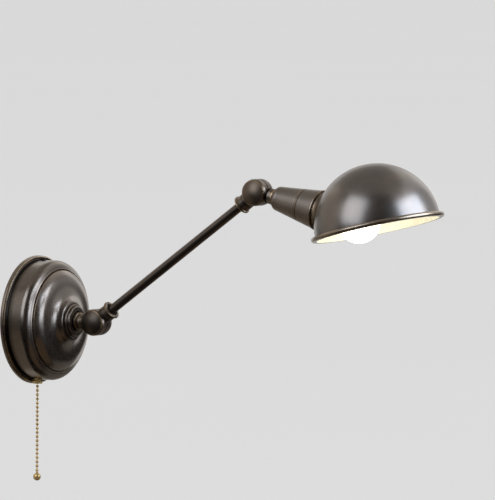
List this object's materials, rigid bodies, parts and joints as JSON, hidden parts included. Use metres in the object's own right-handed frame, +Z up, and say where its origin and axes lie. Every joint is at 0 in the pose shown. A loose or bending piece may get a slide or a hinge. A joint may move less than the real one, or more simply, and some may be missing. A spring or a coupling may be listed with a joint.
{
  "type": "swivel wall lamp",
  "caption": "Wall lamp with a domed round canopy, pull chain, swivelling two-knuckle arm and a dome shade over a globe bulb; swivels, tilts and folds to aim the light.",
  "frame": {"origin": "centre of the canopy's back on the wall plane, midway between the two bracket slots", "axes": "+Z up, +Y into the wall, +X to the right for someone who faces the wall; the lamp reaches out along -Y"},
  "size_m": [0.137, 0.4779, 0.3404],
  "materials": {
    "canopy_bronze": "satin oil-rubbed bronze, gold on the rubbed edges",
    "bronze": "satin oil-rubbed bronze, gold on the rubbed edges",
    "arm_bronze": "satin oil-rubbed bronze",
    "shade_bronze": "satin oil-rubbed bronze",
    "white_enamel": "glossy white enamel",
    "brass": "polished",
    "chain_brass": "aged",
    "zinc_steel": "zinc plated",
    "ground_green": "green dyed",
    "opal_glass": "opal white",
    "lamp_cap": "bright",
    "phenolic": "moulded",
    "fibre": "pressed fibre"
  },
  "bodies": {
    "base": {"canopy": "canopy_bronze", "centre_collar": "bronze", "collar_nut": "zinc_steel", "wall_bracket": "zinc_steel", "canopy_screw": "bronze", "ground_screw": "ground_green", "bell_mouth": "brass", "bell_nut": "brass", "switch_body": "phenolic"},
    "swivel": {"wall_neck": "bronze", "swivel_washer": "zinc_steel", "swivel_nut": "zinc_steel", "lower_front_cap": "bronze", "lower_pivot_bolt": "zinc_steel", "lower_friction_disc": "fibre", "lower_spring_washer": "zinc_steel", "lower_pivot_nut": "zinc_steel"},
    "arm": {"lower_arm_cup": "bronze", "lower_rear_cap": "bronze", "lower_jam_nut": "zinc_steel", "arm_tube": "arm_bronze", "upper_jam_nut": "zinc_steel", "upper_arm_cup": "bronze", "upper_front_cap": "bronze", "upper_pivot_bolt": "zinc_steel", "upper_friction_disc": "fibre", "upper_spring_washer": "zinc_steel", "upper_pivot_nut": "zinc_steel"},
    "head": {"head_neck": "bronze", "upper_rear_cap": "bronze", "socket_cap": "bronze", "socket_sleeve": "bronze", "cup_nut": "zinc_steel", "lampholder": "phenolic", "screw_shell": "brass", "centre_contact": "brass", "shade": "shade_bronze", "shade_liner": "white_enamel", "shade_ring": "zinc_steel", "bulb_glass": "opal_glass", "bulb_base": "lamp_cap", "bulb_tip": "lamp_cap"},
    "pull": {"pull_plunger": "chain_brass"},
    "chain_top": {"chain_top_link": "chain_brass"},
    "chain": {"bead_chain": "chain_brass", "chain_ball": "chain_brass"}
  },
  "joints": [
    {"name": "canopy_swivel", "type": "hinge", "parent": "base", "child": "swivel", "pos_m": [0, 0, 0], "axis": [0, 1, 0], "range_deg": [-80, 80]},
    {"name": "arm_tilt", "type": "hinge", "parent": "swivel", "child": "arm", "pos_m": [0, -0.07512, 0], "axis": [-1, 0, 0], "range_deg": [-75, 35]},
    {"name": "head_tilt", "type": "hinge", "parent": "arm", "child": "head", "pos_m": [0, -0.2692, 0.14008], "axis": [-1, 0, 0], "range_deg": [-45, 90]},
    {"name": "chain_pull", "type": "slide", "parent": "base", "child": "pull", "axis": [0, 0, -1], "range_m": [0, 0.008], "stiffness_N_per_m": 300, "springref_m": -0.004},
    {"name": "chain_sway", "type": "hinge", "parent": "pull", "child": "chain_top", "pos_m": [-0.011, -0.01, -0.06214], "axis": [1, 0, 0], "range_deg": [-10, 10]},
    {"name": "chain_swing", "type": "hinge", "parent": "chain_top", "child": "chain", "pos_m": [-0.011, -0.01, -0.06636], "axis": [0, 1, 0], "range_deg": [-10, 10]}
  ]
}
